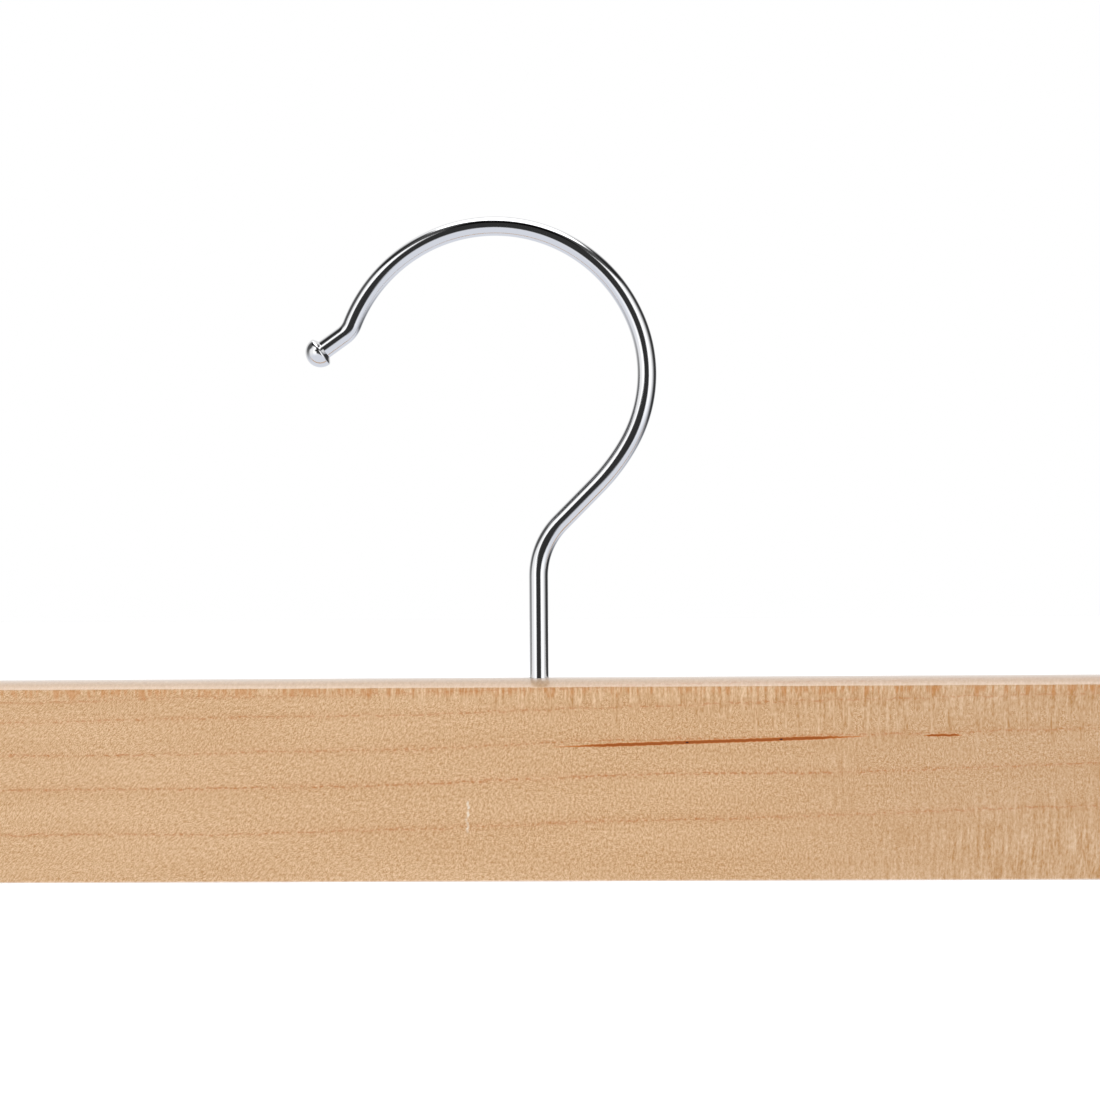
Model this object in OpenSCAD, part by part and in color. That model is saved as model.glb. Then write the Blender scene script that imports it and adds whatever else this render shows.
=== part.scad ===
// Wooden bottoms hanger: a flat bar on a swivel hook, with two pinch clips that slide on wire rails.
// Millimetres. +Z is up, +X runs along the bar and -Y is the front.
// The origin is the point inside the hook's crown that bears on the clothes rail.

/* [Bar] */
// Length of the wooden bar
bar_l = 356; // [340:1:420]
// Height of the bar
bar_h = 40; // [34:1:50]
// Thickness of the bar, front to back
bar_t = 12; // [12:0.5:18]
// Rise of the crowned top edge, from its two arrises to its ridge
crown_rise = 1.9; // [0.6:0.1:3]
// Ease along the two long bottom edges
bottom_ease = 0.4; // [0.2:0.1:1]
// Radius of the bar's four corners, seen from the front
corner_r = 6; // [2:0.5:6]

/* [Hook] */
// Diameter of the hook's wire
hook_d = 3.8; // [3.2:0.1:4]
// Straight stem above the bar
stem_l = 19.85; // [16:0.05:40]
// Bend that leans the stem over: radius
lean_r = 15; // [8:0.5:20]
// Bend that leans the stem over: angle
lean_a = 45; // [40:1:50]
// Straight run after the lean
diagonal_l = 10.2; // [6:0.2:20]
// Slow bend that leads into the hook: radius
lead_r = 40; // [32:1:50]
// Slow bend that leads into the hook: angle
lead_a = 15; // [10:1:20]
// Side of the hook: radius
side_r = 27.5; // [26:0.5:32]
// Side of the hook: angle
side_a = 51.5; // [46:0.5:56]
// Crown of the hook: radius
crown_r = 30.25; // [26:0.25:34]
// Crown of the hook: angle
crown_a = 136.8; // [120:0.1:142]
// Kink before the tip: radius
kink_r = 5; // [3:0.5:8]
// Kink before the tip: angle
kink_a = 33; // [20:1:40]
// Straight run from the kink to the head on the tip
tip_l = 4.7; // [3:0.1:12]
// Radius of the upset head on the tip
head_r = 3; // [2.6:0.1:3.6]

/* [Swivel] */
// Diameter of the counterbore in the bar's underside
counterbore_d = 9.4; // [9.2:0.1:10]
// Depth of the counterbore
counterbore_depth = 8; // [7:0.5:14]
// Outside diameter of the washer
washer_d = 9; // [7:0.1:9]
// Thickness of the washer
washer_t = 0.8; // [0.5:0.1:1]
// Width of the nut across its flats
nut_af = 7; // [6.5:0.1:7.2]
// Height of the nut
nut_h = 3.2; // [2:0.1:3.6]

/* [Rails] */
// Distance from the middle of the bar to the middle of each rail
rail_x = 142.5; // [100:0.5:142.5]
// Diameter of the rail wire
rail_d = 3; // [2.5:0.1:3.2]
// Distance between a rail's two legs
rail_span = 57; // [50:1:57]
// Radius of a rail's two bends
rail_bend_r = 4; // [3:0.5:6]
// Drop from the bar's underside to the rail's axis
rail_drop = 20; // [20:0.5:40]
// Depth that the legs go into the bar
leg_depth = 14; // [10:1:20]

/* [Clips] */
// Width of a jaw across the finger tab
tab_w = 20; // [20:0.5:24]
// Length of the flat finger tab
tab_l = 11.2; // [9:0.1:11.5]
// Outward lean of the finger tab
tab_a = 20; // [15:1:25]
// Width of a jaw across its lip
lip_w = 28; // [26:0.5:36]
// Length of the slope between the pivot and the lip
slope_l = 13.4; // [13:0.1:13.5]
// Inward lean of that slope
slope_a = 15; // [14:0.5:15]
// Height of the lip that the rubber pad covers
lip_h = 8; // [6:0.5:12]
// Thickness of the jaw's sheet metal
sheet_t = 1; // [0.8:0.1:1.1]
// Thickness of the pad on the outside of the lip
pad_skin = 1; // [0.8:0.1:1.5]
// Diameter of the spring's wire
spring_d = 1; // [0.8:0.1:1]
// Whole turns of the spring, before its last part turn
spring_turns = 8; // [5:1:9]

/* [Hidden] */
$fn = 64;
run_gap = 0.08; // radial clearance of a piece that turns or slides
glue_gap = 0.03; // radial clearance of a piece that is driven or glued in
touch_gap = 0.02; // space left where two pieces only touch
past = 1; // length that a cut runs past the face it opens
lap = 0.05; // length that a straight run reaches into the bends beside it
bend_scale = 0.994; // bent metal draws a little thinner, which also lets each run overlap its bends cleanly
half_t = bar_t / 2;
crown_arc_r = (half_t ^ 2 + crown_rise ^ 2) / (2 * crown_rise);
hook_r = hook_d / 2;
rail_r = rail_d / 2;
rail_z = -bar_h - rail_drop;

// Swivel stack, from the roof of the counterbore down
axial_gap = 0.1; // play between the washer and the roof of the counterbore
washer_z = counterbore_depth - bar_h - axial_gap - washer_t;
nut_z = washer_z - touch_gap - nut_h;
stem_end = 1; // length of the stem that shows below the nut
stem_foot_z = nut_z - stem_end;
washer_hole_r = hook_r + 0.25;
nut_corner_r = nut_af / 2 / cos(30);
nut_chamfer = 0.6;
head_step = 0.1; // step from the wire to the root of the cone
head_flange = 0.6; // height of the cone between the wire and the head's rim
head_rim = 0.3; // height of the straight rim under the dome

// Each step of a bent bar is a straight run, then a bend: [run, radius, angle], and left is positive
hook_steps = [
    [stem_l - stem_foot_z, lean_r, -lean_a],
    [diagonal_l, lead_r, lead_a],
    [0, side_r, side_a],
    [0, crown_r, crown_a],
    [0, kink_r, -kink_a],
    [tip_l, 0, 0],
];
hook_start = [0, stem_foot_z, 90];
crown_step = 3;

rail_steps = [
    [leg_depth + rail_drop - rail_bend_r, rail_bend_r, 90],
    [rail_span - 2 * rail_bend_r, rail_bend_r, 90],
    [leg_depth + rail_drop - rail_bend_r, 0, 0],
];
rail_start = [-rail_span / 2, leg_depth - bar_h, -90];
leg_room = 0.5; // space left above each leg in its hole

// A jaw in its own plane: the pivot is at the origin and the plate passes at plate_u outside it
plate_u = 6;
plate_up = 3; // height of the flat plate above the pivot
plate_down = 4; // height of the flat plate below the pivot
tab_bend_r = 3;
slope_bend_r = 2.5;
jaw_steps = [
    [tab_l, tab_bend_r, tab_a],
    [plate_up + plate_down, slope_bend_r, -slope_a],
    [slope_l, slope_bend_r, slope_a],
    [lip_h, 0, 0],
];
tab_end = place([[plate_up, tab_bend_r, -tab_a], [tab_l, 0, 0]], 2, [plate_u, 0, 90]);
jaw_start = [tab_end.x, tab_end.y, tab_end[2] + 180];
lip_start = place(jaw_steps, 3, jaw_start);
lip_u = lip_start.x;
lip_top = lip_start.y;
lip_end = lip_top - lip_h;
tab_corner_r = 4;
lip_corner_r = 1.5;
// The rear jaw is narrower beside the front ears, between these two heights
neck_top = plate_up + 1.5;
neck_bottom = -plate_down - 1.5;
flare_top = neck_bottom - 2.5; // where the jaw starts to widen towards its lip
flare_end = flare_top - 7;

// The front jaw's ears straddle the rear jaw's ears, and the sleeve's flanges hold all four
ear_r = 4.4;
ear_gap = 0.1; // play between a front ear and the rear ear beside it
outer_ear_x = (tab_w - sheet_t) / 2;
inner_ear_x = outer_ear_x - sheet_t - ear_gap;
flange_gap = 0.15; // play between a flange and the front ear beside it
flange_t = 0.6;
flange_r = 3.6;
sleeve_wall = 0.82;
sleeve_in_r = rail_r + run_gap;
sleeve_out_r = sleeve_in_r + sleeve_wall;
sleeve_half = outer_ear_x + sheet_t / 2 + flange_gap + flange_t;
ear_hole_r = sleeve_out_r + run_gap;

// Rubber pads
pad_w = lip_w + 2;
pad_face_gap = 0.05; // half the space between the two closed pads
pad_top = lip_top - 0.5;
pad_floor = 1.2; // rubber under the lip's edge
pad_end = lip_end - pad_floor;
pad_corner_r = 0.7;
groove_pitch = 1.6;
groove_depth = 0.5;
groove_count = 5;

// Torsion spring: each leg lies against the inside of a finger tab
spring_r = spring_d / 2;
tab_offset = (plate_u + tab_bend_r) * cos(tab_a) - plate_up * sin(tab_a) - tab_bend_r;
coil_r = tab_offset - sheet_t / 2 - spring_r - touch_gap;
coil_gap = 0.15; // space between one turn and the next
coil_pitch = spring_d + coil_gap;
coil_sweep = 360 * spring_turns + 180 - 2 * tab_a;
coil_l = coil_pitch * coil_sweep / 360;
coil_step_a = 20;
coil_count = round(coil_sweep / coil_step_a);
leg_l = tab_l + 0.6;
spring_sides = 10; // corners of the spring wire's section

// The state [x, z, heading] after one step, starting from state p
function after(p, step) =
    let (
        heading = p[2],
        run_end = [p.x, p.y] + step[0] * [cos(heading), sin(heading)],
        radius = step[1] * sign(step[2]),
        turned = heading + step[2],
        centre = run_end + radius * [-sin(heading), cos(heading)],
        bend_end = centre + radius * [sin(turned), -cos(turned)]
    )
    [bend_end.x, bend_end.y, turned];

// The state at the start of step n
function place(steps, n, start) = n == 0 ? start : after(place(steps, n - 1, start), steps[n - 1]);

// Centre of the bend that ends step n
function bend_centre(steps, n, start) =
    let (p = place(steps, n, start), step = steps[n], radius = step[1] * sign(step[2]))
    [p.x, p.y] + step[0] * [cos(p[2]), sin(p[2])] + radius * [-sin(p[2]), cos(p[2])];

seat = bend_centre(hook_steps, crown_step, hook_start) + [0, crown_r - hook_r];

// Moves a piece from the bar's frame, whose zero is on the stem's axis at the bar's top, to the hanging point
module hung() {
    translate([-seat.x, 0, -seat.y]) children();
}

// A bar of constant section, bent in the XZ plane step by step; the section is the 2-D child
module bent_bar(steps, start) {
    for (i = [0 : len(steps) - 1]) {
        p = place(steps, i, start);
        run = steps[i][0];
        radius = steps[i][1];
        angle = steps[i][2];
        translate([p.x, 0, p.y]) rotate([0, 90 - p[2], 0]) {
            translate([0, 0, -lap]) linear_extrude(run + 2 * lap) children();
            if (angle != 0) {
                trim_a = lap / 2 / radius * 180 / PI;
                mirror([angle < 0 ? 1 : 0, 0, 0]) translate([-radius, 0, run]) rotate([90, 0, 0])
                    rotate([0, 0, trim_a]) rotate_extrude(angle = abs(angle) - 2 * trim_a)
                        translate([radius, 0]) rotate(angle < 0 ? 180 : 0) scale(bend_scale) children();
            }
        }
    }
}

// A rectangle with true arcs at its corners, centred on the origin
module rounded_rectangle(size, r) {
    square([size.x - 2 * r, size.y], center = true);
    square([size.x, size.y - 2 * r], center = true);
    for (sx = [-1, 1], sy = [-1, 1])
        translate([sx * (size.x / 2 - r), sy * (size.y / 2 - r)]) circle(r);
}

// Section of the bar: an arc across the top, upright sides and eased bottom edges
module bar_section() {
    difference() {
        polygon([
            [-half_t, past], [half_t, past],
            [half_t, -bar_h + bottom_ease], [half_t - bottom_ease, -bar_h],
            [-half_t + bottom_ease, -bar_h], [-half_t, -bar_h + bottom_ease],
        ]);
        difference() {
            translate([-half_t - past, -crown_rise - past]) square([bar_t + 2 * past, crown_rise + 3 * past]);
            translate([0, -crown_arc_r]) circle(crown_arc_r);
        }
    }
}

module hanger_bar() {
    color("burlywood") hung() difference() {
        intersection() {
            rotate([90, 0, 90]) linear_extrude(bar_l, center = true) bar_section();
            translate([0, 0, (touch_gap - bar_h) / 2]) rotate([90, 0, 0])
                linear_extrude(bar_t + 2 * past, center = true)
                    rounded_rectangle([bar_l, bar_h + touch_gap], corner_r);
        }
        translate([0, 0, -bar_h - past]) cylinder(h = bar_h + 2 * past, r = hook_r + run_gap);
        translate([0, 0, -bar_h - past]) cylinder(h = counterbore_depth + past, d = counterbore_d);
        for (side = [-1, 1], leg = [-1, 1])
            translate([side * rail_x + leg * rail_span / 2, 0, -bar_h - past])
                cylinder(h = leg_depth + leg_room + past, r = rail_r + glue_gap);
    }
}

// Cone, short rim and dome, standing on the end of the wire
module hook_head() {
    rotate_extrude() {
        polygon([[0, 0], [hook_r + head_step, 0], [head_r, head_flange], [head_r, head_flange + head_rim],
            [0, head_flange + head_rim]]);
        translate([0, head_flange + head_rim]) intersection() {
            circle(head_r);
            square(head_r);
        }
    }
}

module hook() {
    tip = place(hook_steps, len(hook_steps), hook_start);
    color("silver") hung() {
        bent_bar(hook_steps, hook_start) circle(hook_r);
        translate([tip.x, 0, tip.y]) rotate([0, 90 - tip[2], 0]) hook_head();
    }
}

module hook_washer() {
    color("lightgray") hung() translate([0, 0, washer_z]) difference() {
        cylinder(h = washer_t, d = washer_d);
        translate([0, 0, -past]) cylinder(h = washer_t + 2 * past, r = washer_hole_r);
    }
}

module hook_nut() {
    color("lightgray") hung() translate([0, 0, nut_z]) difference() {
        intersection() {
            cylinder(h = nut_h, r = nut_corner_r, $fn = 6);
            rotate_extrude() polygon([
                [0, 0], [nut_corner_r - nut_chamfer, 0], [nut_corner_r, nut_chamfer / 2],
                [nut_corner_r, nut_h - nut_chamfer / 2], [nut_corner_r - nut_chamfer, nut_h], [0, nut_h],
            ]);
        }
        translate([0, 0, -past]) cylinder(h = nut_h + 2 * past, r = hook_r + touch_gap);
    }
}

module rail() {
    bent_bar(rail_steps, rail_start) circle(rail_r);
}

// Flanged tube that the jaws hinge on, with the rail running through it
module pivot_sleeve() {
    rotate([0, 90, 0]) difference() {
        union() {
            cylinder(h = 2 * sleeve_half, r = sleeve_out_r, center = true);
            for (end = [-1, 1])
                translate([0, 0, end * (sleeve_half - flange_t / 2)])
                    cylinder(h = flange_t, r = flange_r, center = true);
        }
        cylinder(h = 2 * (sleeve_half + past), r = sleeve_in_r, center = true);
    }
}

// Outline of a jaw seen from the front: rounded tab, neck beside the ears, then a flare to the lip
module jaw_outline(neck_w) {
    tab_h = tab_end.y + sheet_t - neck_top;
    translate([-tab_w / 2 + tab_corner_r, neck_top]) square([tab_w - 2 * tab_corner_r, tab_h]);
    translate([-tab_w / 2, neck_top]) square([tab_w, tab_h - tab_corner_r]);
    for (side = [-1, 1])
        translate([side * (tab_w / 2 - tab_corner_r), neck_top + tab_h - tab_corner_r])
            circle(tab_corner_r);
    translate([-neck_w / 2, neck_bottom - past]) square([neck_w, neck_top - neck_bottom + 2 * past]);
    polygon([
        [-tab_w / 2, neck_bottom], [tab_w / 2, neck_bottom], [tab_w / 2, flare_top],
        [lip_w / 2, flare_end], [lip_w / 2, lip_end + lip_corner_r],
        [lip_w / 2 - lip_corner_r, lip_end - past], [-lip_w / 2 + lip_corner_r, lip_end - past],
        [-lip_w / 2, lip_end + lip_corner_r], [-lip_w / 2, flare_end], [-tab_w / 2, flare_top],
    ]);
}

// A jaw in its own frame: +X is outward from the pivot, Y is along the pivot
module jaw(ear_x, neck_w) {
    difference() {
        union() {
            intersection() {
                bent_bar(jaw_steps, jaw_start) square([sheet_t, lip_w + past], center = true);
                rotate([90, 0, 90]) linear_extrude(2 * tab_end.x) jaw_outline(neck_w);
            }
            for (side = [-1, 1])
                translate([0, side * ear_x, 0]) rotate([90, 0, 0]) linear_extrude(sheet_t, center = true) {
                    circle(ear_r);
                    polygon([[0, ear_r], [plate_u, plate_up], [plate_u, -plate_down], [0, -ear_r]]);
                }
        }
        rotate([90, 0, 0]) cylinder(h = tab_w + 2 * past, r = ear_hole_r, center = true);
    }
}

// Ribbed boot over a jaw's lip, in the jaw's own frame
module pad() {
    depth = lip_u + sheet_t / 2 + pad_skin - pad_face_gap;
    height = pad_top - pad_end;
    slot_t = sheet_t + 2 * touch_gap;
    slot_floor = lip_end - lap - touch_gap;
    difference() {
        translate([pad_face_gap + depth / 2, 0, (pad_top + pad_end) / 2]) rotate([90, 0, 0])
            linear_extrude(pad_w, center = true) rounded_rectangle([depth, height], pad_corner_r);
        translate([lip_u - slot_t / 2, -lip_w / 2 - touch_gap, slot_floor])
            cube([slot_t, lip_w + 2 * touch_gap, pad_top - slot_floor + past]);
        for (i = [0 : groove_count - 1])
            translate([pad_face_gap - past, -pad_w / 2 - past, lip_end + i * groove_pitch])
                cube([past + groove_depth, pad_w + 2 * past, groove_pitch / 2]);
    }
}

// Stations along the spring's wire: [centre, outward direction, wire direction]
function coil_station(i) =
    let (
        a = 180 + tab_a + coil_sweep * i / coil_count,
        out = [0, cos(a), sin(a)],
        along = [coil_pitch / 360 * 180 / PI, -coil_r * sin(a), coil_r * cos(a)]
    )
    [[coil_l * (i / coil_count - 0.5), 0, 0] + coil_r * out, out, along / norm(along)];
function leg_end(station, way) = [station[0] + way * leg_l * station[2], station[1], station[2]];

// A round wire through the stations, as one closed surface
module swept_wire(stations, r, sides) {
    last = len(stations) - 1;
    points = [
        for (s = stations, k = [0 : sides - 1])
            s[0] + r * (cos(360 * k / sides) * s[1] + sin(360 * k / sides) * cross(s[2], s[1]))
    ];
    walls = [
        for (i = [0 : last - 1], k = [0 : sides - 1], half = [0, 1])
            let (a = i * sides + k, b = i * sides + (k + 1) % sides)
            half == 0 ? [a, b, b + sides] : [a, b + sides, a + sides]
    ];
    start_cap = [for (k = [sides - 1 : -1 : 0]) k];
    end_cap = [for (k = [0 : sides - 1]) last * sides + k];
    polyhedron(points, concat(walls, [start_cap, end_cap]));
}

module torsion_spring() {
    coil = [for (i = [0 : coil_count]) coil_station(i)];
    stations = concat([leg_end(coil[0], -1)], coil, [leg_end(coil[coil_count], 1)]);
    swept_wire(stations, spring_r, spring_sides);
}

// Puts a clip's piece on its rail; side is -1 on the left and 1 on the right
module on_rail(side) {
    hung() translate([side * rail_x, 0, rail_z]) children();
}

// Turns a jaw's own frame so that outward is the front or the rear
module facing_front() {
    rotate([0, 0, -90]) children();
}
module facing_rear() {
    rotate([0, 0, 90]) children();
}

module left_rail() { color("silver") hung() translate([-rail_x, 0, 0]) rail(); }
module right_rail() { color("silver") hung() translate([rail_x, 0, 0]) rail(); }
module clip_sleeve(side) { color("lightgray") on_rail(side) pivot_sleeve(); }
module clip_spring(side) { color("gray") on_rail(side) torsion_spring(); }
module clip_front_jaw(side) { color("silver") on_rail(side) facing_front() jaw(outer_ear_x, tab_w); }
module clip_rear_jaw(side) {
    color("silver") on_rail(side) facing_rear() jaw(inner_ear_x, 2 * inner_ear_x + sheet_t);
}
module clip_front_pad(side) { color("dimgray") on_rail(side) facing_front() pad(); }
module clip_rear_pad(side) { color("dimgray") on_rail(side) facing_rear() pad(); }

hanger_bar();
hook();
hook_washer();
hook_nut();
left_rail();
right_rail();
clip_sleeve(-1);  // left_pivot_sleeve
clip_spring(-1);  // left_torsion_spring
clip_front_jaw(-1);  // left_front_jaw
clip_rear_jaw(-1);  // left_rear_jaw
clip_front_pad(-1);  // left_front_pad
clip_rear_pad(-1);  // left_rear_pad
clip_sleeve(1);  // right_pivot_sleeve
clip_spring(1);  // right_torsion_spring
clip_front_jaw(1);  // right_front_jaw
clip_rear_jaw(1);  // right_rear_jaw
clip_front_pad(1);  // right_front_pad
clip_rear_pad(1);  // right_rear_pad
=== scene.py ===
"""Looks of a wooden bottoms hanger with a chrome swivel hook and two sliding pinch clips.

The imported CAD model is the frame: +X runs along the bar, -Y is the front, +Z is up, and the origin is the
point inside the hook's crown that bears on the clothes rail. Shapes are worked out in millimetres and built
in metres.
"""
import math

import bmesh
import bpy
import numpy as np
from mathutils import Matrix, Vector


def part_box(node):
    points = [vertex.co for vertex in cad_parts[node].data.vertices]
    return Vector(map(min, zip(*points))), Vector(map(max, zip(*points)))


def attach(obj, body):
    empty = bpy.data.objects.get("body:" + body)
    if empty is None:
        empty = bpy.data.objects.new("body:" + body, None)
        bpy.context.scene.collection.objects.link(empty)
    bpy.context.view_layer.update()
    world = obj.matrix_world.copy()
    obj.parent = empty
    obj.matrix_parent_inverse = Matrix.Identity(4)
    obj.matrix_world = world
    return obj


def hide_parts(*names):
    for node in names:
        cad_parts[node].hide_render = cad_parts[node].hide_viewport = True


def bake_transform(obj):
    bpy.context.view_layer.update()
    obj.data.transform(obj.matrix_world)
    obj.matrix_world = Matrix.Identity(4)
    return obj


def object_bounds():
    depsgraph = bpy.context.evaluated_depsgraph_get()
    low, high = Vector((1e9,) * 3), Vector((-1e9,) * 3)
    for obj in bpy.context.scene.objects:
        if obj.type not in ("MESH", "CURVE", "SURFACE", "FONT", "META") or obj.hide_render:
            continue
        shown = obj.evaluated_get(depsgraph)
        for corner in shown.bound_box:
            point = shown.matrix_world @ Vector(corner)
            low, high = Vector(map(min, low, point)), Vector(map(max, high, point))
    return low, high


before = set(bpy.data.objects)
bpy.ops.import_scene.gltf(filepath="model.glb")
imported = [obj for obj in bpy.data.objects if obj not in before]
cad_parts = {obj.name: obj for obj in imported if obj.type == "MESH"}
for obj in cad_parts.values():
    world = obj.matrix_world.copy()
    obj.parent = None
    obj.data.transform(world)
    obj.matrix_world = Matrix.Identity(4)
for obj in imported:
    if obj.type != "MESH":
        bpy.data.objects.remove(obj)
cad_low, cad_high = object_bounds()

MM = 0.001

# ---------------------------------------------------------------- places, read from the frame

bar_low, bar_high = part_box("hanger_bar")
STEM_X = (bar_low.x + bar_high.x) / 2 / MM
BAR_TOP = bar_high.z / MM
BAR_L = (bar_high.x - bar_low.x) / MM
BAR_H = (bar_high.z - bar_low.z) / MM
BAR_T = (bar_high.y - bar_low.y) / MM
STEM_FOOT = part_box("hook")[0].z / MM - BAR_TOP


def middle(node):
    """The middle of a CAD node's box, in millimetres."""
    low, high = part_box(node)
    return (low + high) / 2 / MM


# ---------------------------------------------------------------- driving dimensions, in millimetres

HOOK_R = 1.9
HEAD_R = 3.0
STEM_L = 19.85
# [straight run, bend radius, bend angle] one after the other; a bend to the left is positive
HOOK_STEPS = [
    [STEM_L - STEM_FOOT, 15, -45],
    [10.2, 40, 15],
    [0, 27.5, 51.5],
    [0, 30.25, 136.8],
    [0, 5, -33],
    [4.7, 0, 0],
]
THREAD_PITCH = 0.7
THREAD_DEPTH = 0.22
THREAD_L = 6.0

RUN_GAP = 0.08
GLUE_GAP = 0.03
TOUCH_GAP = 0.02
RAIL_R = 1.5
RAIL_BEND_R = 4.0

CROWN_RISE = 1.9
CORNER_R = 6.0
BOTTOM_EASE = 0.4
END_EASE = 0.9
ARRIS_R = 0.3
COUNTERBORE_R = 4.7
COUNTERBORE_DEPTH = 8.0
LEG_DEPTH = 14.0
NUT_AF = 7.0

# A jaw in its own plane: the pivot is at the origin and the plate passes at PLATE_U outside it
SHEET_T = 1.0
PLATE_U = 6.0
PLATE_UP = 3.0
PLATE_DOWN = 4.0
TAB_W = 20.0
TAB_L = 11.2
TAB_LEAN = 20.0
TAB_BEND_R = 3.0
TAB_CORNER_R = 4.0
SLOPE_L = 13.4
SLOPE_LEAN = 15.0
SLOPE_BEND_R = 2.5
FLARE_TOP = -8.0
FLARE_L = 7.0
LIP_W = 28.0
LIP_H = 8.0
# The lip starts here, LIP_U outside the pivot's plane and level with LIP_TOP
LIP_U = 2.36
LIP_TOP = -18.2
JAW_STEPS = [
    [TAB_L, TAB_BEND_R, TAB_LEAN],
    [PLATE_UP + PLATE_DOWN, SLOPE_BEND_R, -SLOPE_LEAN],
    [SLOPE_L, SLOPE_BEND_R, SLOPE_LEAN],
    [LIP_H, 0, 0],
]
EAR_R = 4.4
OUTER_EAR_X = (TAB_W - SHEET_T) / 2
EAR_X = {"front": OUTER_EAR_X, "rear": OUTER_EAR_X - SHEET_T - 0.1}

SLEEVE_IN_R = RAIL_R + RUN_GAP
SLEEVE_OUT_R = SLEEVE_IN_R + 0.82
EAR_HOLE_R = SLEEVE_OUT_R + RUN_GAP
FLANGE_T = 0.6

PAD_SKIN = 1.0
PAD_FACE_GAP = 0.05
PAD_CORNER_R = 0.6
PAD_FLOOR = 1.2
GROOVE_PITCH = 1.6
GROOVE_DEPTH = 0.5

SPRING_R = 0.5
SPRING_LEG = TAB_L + 0.6
LEAN = math.radians(TAB_LEAN)
TAB_OFFSET = (PLATE_U + TAB_BEND_R) * math.cos(LEAN) - PLATE_UP * math.sin(LEAN) - TAB_BEND_R
COIL_R = TAB_OFFSET - SHEET_T / 2 - SPRING_R - TOUCH_GAP
COIL_PITCH = 2 * SPRING_R + 0.15
COIL_SWEEP = 8 * 360 + 180 - 2 * TAB_LEAN
COIL_L = COIL_PITCH * COIL_SWEEP / 360

CAMERA_YAW = 4.1


# ---------------------------------------------------------------- mesh helpers

SHARP_ANGLE = 35


def make_object(name, vertices, faces, sharp_angle=SHARP_ANGLE):
    """A smooth-shaded object from vertices in millimetres, with its normals facing out."""
    mesh = bpy.data.meshes.new(name)
    mesh.from_pydata([tuple(v) for v in np.asarray(vertices) * MM], [], faces)
    shape = bmesh.new()
    shape.from_mesh(mesh)
    bmesh.ops.recalc_face_normals(shape, faces=shape.faces)
    shape.to_mesh(mesh)
    shape.free()
    shade(mesh, sharp_angle)
    piece = bpy.data.objects.new(name, mesh)
    bpy.context.scene.collection.objects.link(piece)
    return piece


def shade(mesh, sharp_angle):
    """Smooth shading that keeps edges sharper than the given angle."""
    mesh.polygons.foreach_set("use_smooth", [True] * len(mesh.polygons))
    mesh.set_sharp_from_angle(angle=math.radians(sharp_angle))
    mesh.update()


def skin(rings, closed=False):
    """Vertices and faces over rows of rings. closed joins the last ring to the first, else ends are capped."""
    rings = np.asarray(rings, float)
    rows, cols = rings.shape[:2]
    faces = []
    for i in range(rows if closed else rows - 1):
        j = (i + 1) % rows
        for k in range(cols):
            m = (k + 1) % cols
            faces.append((i * cols + k, i * cols + m, j * cols + m, j * cols + k))
    if not closed:
        faces.append(tuple(range(cols)))
        faces.append(tuple(range((rows - 1) * cols, rows * cols)))
    return rings.reshape(-1, 3), faces


def bent_path(start, steps, turn_step=1.5):
    """Stations along straight runs and bends in a plane, as rows of [across, up, heading in degrees]."""
    x, z, heading = start
    stations = [(x, z, heading)]
    for run, radius, angle in steps:
        if run:
            x += run * math.cos(math.radians(heading))
            z += run * math.sin(math.radians(heading))
            stations.append((x, z, heading))
        if angle:
            side = math.copysign(radius, angle)
            centre_x = x - side * math.sin(math.radians(heading))
            centre_z = z + side * math.cos(math.radians(heading))
            count = max(2, math.ceil(abs(angle) / turn_step))
            for i in range(1, count + 1):
                turned = math.radians(heading + angle * i / count)
                stations.append((
                    centre_x + side * math.sin(turned),
                    centre_z - side * math.cos(turned),
                    math.degrees(turned),
                ))
            x, z, heading = stations[-1]
    return np.array(stations)


def fill_runs(stations, longest):
    """Adds stations so that no two neighbours are further apart than longest."""
    filled = [stations[0]]
    for a, b in zip(stations[:-1], stations[1:]):
        count = max(1, math.ceil(math.hypot(b[0] - a[0], b[1] - a[1]) / longest))
        filled += [a + (b - a) * i / count for i in range(1, count + 1)]
    return np.array(filled)


def wire_rings(stations, radii, sides):
    """Rings round a wire that lies in the XZ plane; radii is one value, one a station, or one a vertex."""
    angles = np.arange(sides) * 2 * math.pi / sides
    radii = np.asarray(radii, float)
    if radii.ndim < 2:
        radii = np.broadcast_to(radii.reshape(-1, 1), (len(stations), sides))
    heading = np.radians(stations[:, 2])
    normal = np.stack([-np.sin(heading), 0 * heading, np.cos(heading)], axis=1)
    centre = np.stack([stations[:, 0], 0 * heading, stations[:, 1]], axis=1)
    sideways = np.array([0.0, 1.0, 0.0])
    return centre[:, None] + radii[..., None] * (
        np.cos(angles)[None, :, None] * normal[:, None] + np.sin(angles)[None, :, None] * sideways
    )


def arc(centre, radius, start, end, count):
    """Points round an arc in a plane, from one angle to another in degrees."""
    turns = [math.radians(start + (end - start) * i / count) for i in range(count + 1)]
    return [(centre[0] + radius * math.cos(t), centre[1] + radius * math.sin(t)) for t in turns]


def carve(piece, cutters, operation="DIFFERENCE"):
    """Cuts or joins other objects with a piece, exactly, and removes them."""
    for cutter in cutters:
        change = piece.modifiers.new("carve", "BOOLEAN")
        change.operation = operation
        change.solver = "EXACT"
        change.object = cutter
    settle(piece)
    for cutter in cutters:
        bpy.data.objects.remove(cutter)
    return piece


def settle(piece):
    """Applies a piece's modifiers."""
    bpy.context.view_layer.update()
    graph = bpy.context.evaluated_depsgraph_get()
    mesh = bpy.data.meshes.new_from_object(piece.evaluated_get(graph))
    piece.modifiers.clear()
    piece.data = mesh
    shade(mesh, SHARP_ANGLE)


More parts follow.
